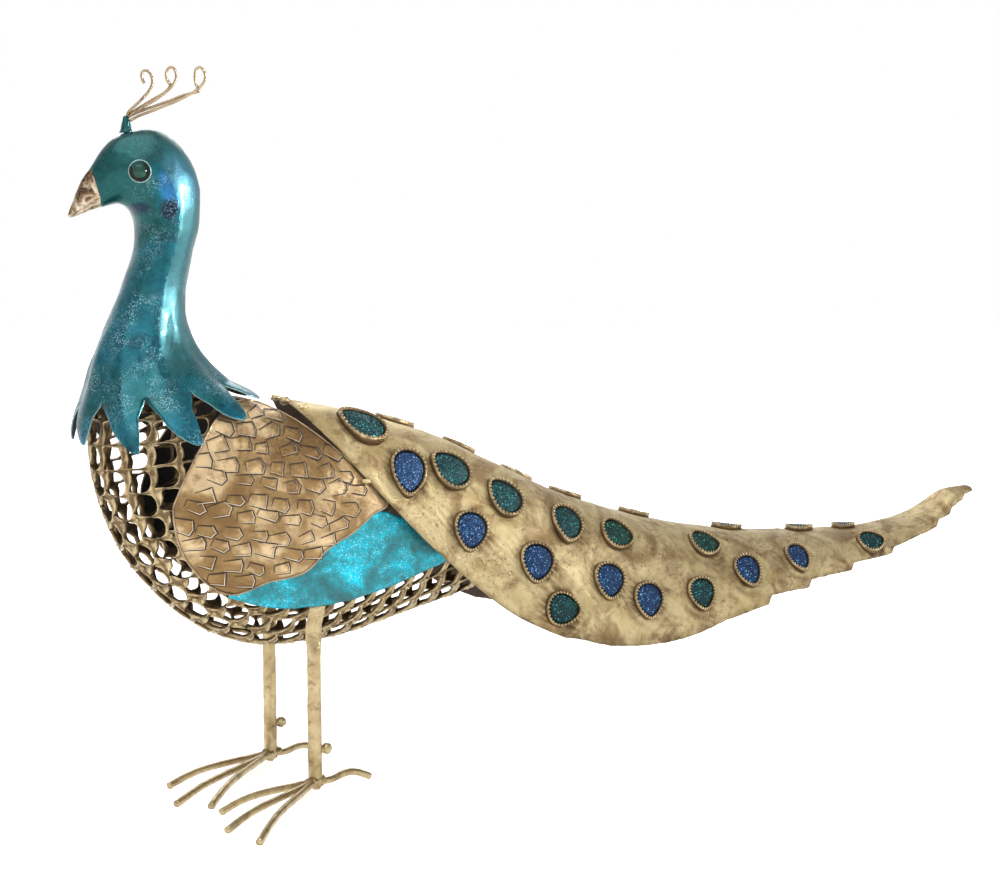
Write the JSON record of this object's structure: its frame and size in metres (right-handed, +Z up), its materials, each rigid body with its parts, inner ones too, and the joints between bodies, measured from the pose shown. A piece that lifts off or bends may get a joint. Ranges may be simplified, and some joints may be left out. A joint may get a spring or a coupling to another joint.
{
  "type": "peacock figurine",
  "caption": "Standing metal peacock with a painted neck, openwork breast, cut sheet wings and a long arched tail set with resin jewels.",
  "frame": {"origin": "bottom centre of the figure's box, on the floor that the toes stand on", "axes": "-X towards the beak, +X towards the tail's tip, -Y the bird's left side, +Z up"},
  "size_m": [0.962, 0.271, 0.6358],
  "materials": {
    "teal_paint": "metallic teal with glitter, mottled blue",
    "beak_metal": "pale silver over bare metal, brown tarnish",
    "antique_gold": "antique gold, brown patina in the hollows",
    "wing_bronze": "satin bronze",
    "flank_turquoise": "turquoise over dark teal-grey, satin",
    "tail_gold": "champagne gold, brown specks, satin",
    "eye_glass": "dark green, glossy",
    "jewel_blue": "glittery blue resin in a gold bezel",
    "jewel_teal": "glittery teal resin in a gold bezel",
    "jewel_green": "glittery green resin in a gold bezel"
  },
  "bodies": {
    "root": {"neck_and_head": "teal_paint", "beak": "beak_metal", "eye_ring_left": "antique_gold", "eye_glass_left": "eye_glass", "eye_ring_right": "antique_gold", "eye_glass_right": "eye_glass", "crest_nub": "antique_gold", "crest_wire_front": "antique_gold", "crest_wire_middle": "antique_gold", "crest_wire_back": "antique_gold", "body_openwork": "antique_gold", "wing_left": "wing_bronze", "flank_left": "flank_turquoise", "wing_right": "wing_bronze", "flank_right": "flank_turquoise", "tail_train": "tail_gold", "jewel_left_01": "jewel_teal", "jewel_left_02": "jewel_blue", "jewel_left_03": "jewel_teal", "jewel_left_04": "jewel_teal", "jewel_left_05": "jewel_blue", "jewel_left_06": "jewel_blue", "jewel_left_07": "jewel_teal", "jewel_left_08": "jewel_teal", "jewel_left_09": "jewel_green", "jewel_left_10": "jewel_blue", "jewel_left_11": "jewel_blue", "jewel_left_12": "jewel_green", "jewel_left_13": "jewel_teal", "jewel_left_14": "jewel_blue", "jewel_left_15": "jewel_blue", "jewel_left_16": "jewel_teal", "jewel_right_01": "jewel_teal", "jewel_right_02": "jewel_blue", "jewel_right_03": "jewel_teal", "jewel_right_04": "jewel_green", "jewel_right_05": "jewel_teal", "jewel_right_06": "jewel_blue", "jewel_right_07": "jewel_teal", "jewel_right_08": "jewel_blue", "jewel_right_09": "jewel_teal", "jewel_right_10": "jewel_blue", "jewel_right_11": "jewel_teal", "jewel_right_12": "jewel_blue", "jewel_right_13": "jewel_green", "jewel_right_14": "jewel_blue", "jewel_right_15": "jewel_blue", "leg_left": "antique_gold", "foot_left": "antique_gold", "spur_left": "antique_gold", "leg_right": "antique_gold", "foot_right": "antique_gold", "spur_right": "antique_gold"}
  },
  "joints": []
}
